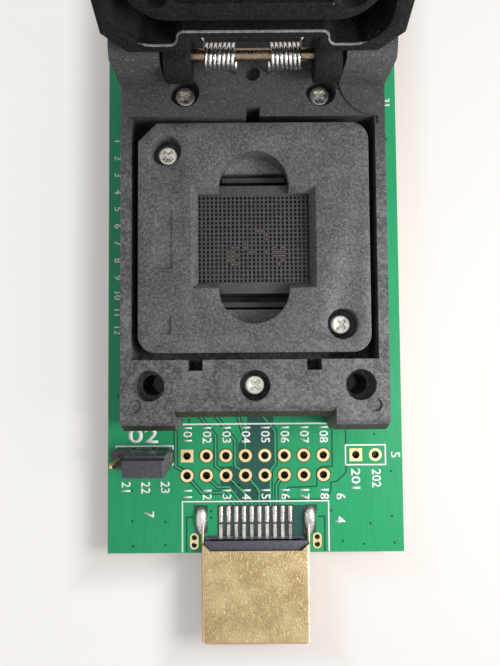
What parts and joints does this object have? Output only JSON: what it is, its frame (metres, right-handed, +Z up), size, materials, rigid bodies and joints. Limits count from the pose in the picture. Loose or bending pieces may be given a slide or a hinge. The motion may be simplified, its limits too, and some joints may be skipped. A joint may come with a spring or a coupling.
{
  "type": "clamshell chip test socket on an adapter board",
  "caption": "Open hinged-lid chip test socket on a green adapter board with a gold edge plug, pin header holes and a jumper.",
  "frame": {"origin": "centre of the part's outline in plan, on the plane that the plug and the nuts rest on", "axes": "+Z up, out of the chip pocket; +Y towards the hinge and the open lid; the plug points along -Y; +X to the right seen from the plug"},
  "size_m": [0.0384, 0.089, 0.059],
  "materials": {
    "board": "satin",
    "gold_plating": "polished",
    "plug_gold": "brushed",
    "black_nylon": "satin",
    "solder": "satin",
    "jumper_plastic": "satin",
    "socket_plastic": "matt",
    "contact_plastic": "matt",
    "guide_plastic": "matt",
    "screw_steel": "satin",
    "spring_steel": "bright",
    "pin_steel": "satin"
  },
  "bodies": {
    "socket": {"circuit_board": "board", "plated_holes": "gold_plating", "plug_shell": "plug_gold", "plug_insulator": "black_nylon", "plug_contacts_upper": "gold_plating", "plug_contacts_lower": "gold_plating", "solder_joints": "solder", "header_body": "black_nylon", "header_pins": "gold_plating", "socket_base": "socket_plastic", "contact_block": "contact_plastic", "contact_grid": "contact_plastic", "contact_pins": "gold_plating", "guide_screws": "screw_steel", "guide_springs": "spring_steel", "base_screws": "screw_steel", "base_nuts": "screw_steel", "hinge_pin": "pin_steel", "lid_spring_left": "spring_steel", "lid_spring_right": "spring_steel"},
    "floating_guide": {"guide_plate": "guide_plastic"},
    "lid": {"lid_frame": "socket_plastic", "pressure_springs": "spring_steel", "pressure_screws": "screw_steel", "latch_pin": "screw_steel", "latch_spring": "spring_steel"},
    "presser": {"pressure_plate": "guide_plastic"},
    "latch_lever": {"latch": "socket_plastic"},
    "jumper": {"jumper_cap": "jumper_plastic", "jumper_clip": "gold_plating"}
  },
  "joints": [
    {"name": "lid_hinge", "type": "hinge", "parent": "socket", "child": "lid", "pos_m": [0, 0.02593, 0.01582], "axis": [1, 0, 0], "range_deg": [0, 108], "stiffness_Nm_per_rad": 0.006, "springref_deg": -85.94, "deforming": ["lid_spring_left", "lid_spring_right"]},
    {"name": "latch_hinge", "type": "hinge", "parent": "lid", "child": "latch_lever", "pos_m": [0, 0.03968, 0.05362], "axis": [1, 0, 0], "range_deg": [-20, 0], "stiffness_Nm_per_rad": 0.005, "springref_deg": 28.65, "deforming": ["latch_spring"]},
    {"name": "presser_slide", "type": "slide", "parent": "lid", "child": "presser", "axis": [0, 0.9511, -0.309], "range_m": [0, 0.001], "stiffness_N_per_m": 2000, "springref_m": -0.001, "deforming": ["pressure_springs"]},
    {"name": "guide_slide", "type": "slide", "parent": "socket", "child": "floating_guide", "axis": [0, 0, -1], "range_m": [0, 0.0003], "stiffness_N_per_m": 2000, "springref_m": -0.001, "deforming": ["guide_springs"]},
    {"name": "jumper_lift", "type": "slide", "parent": "socket", "child": "jumper", "axis": [0, 0, 1], "range_m": [0, 0.006]}
  ]
}
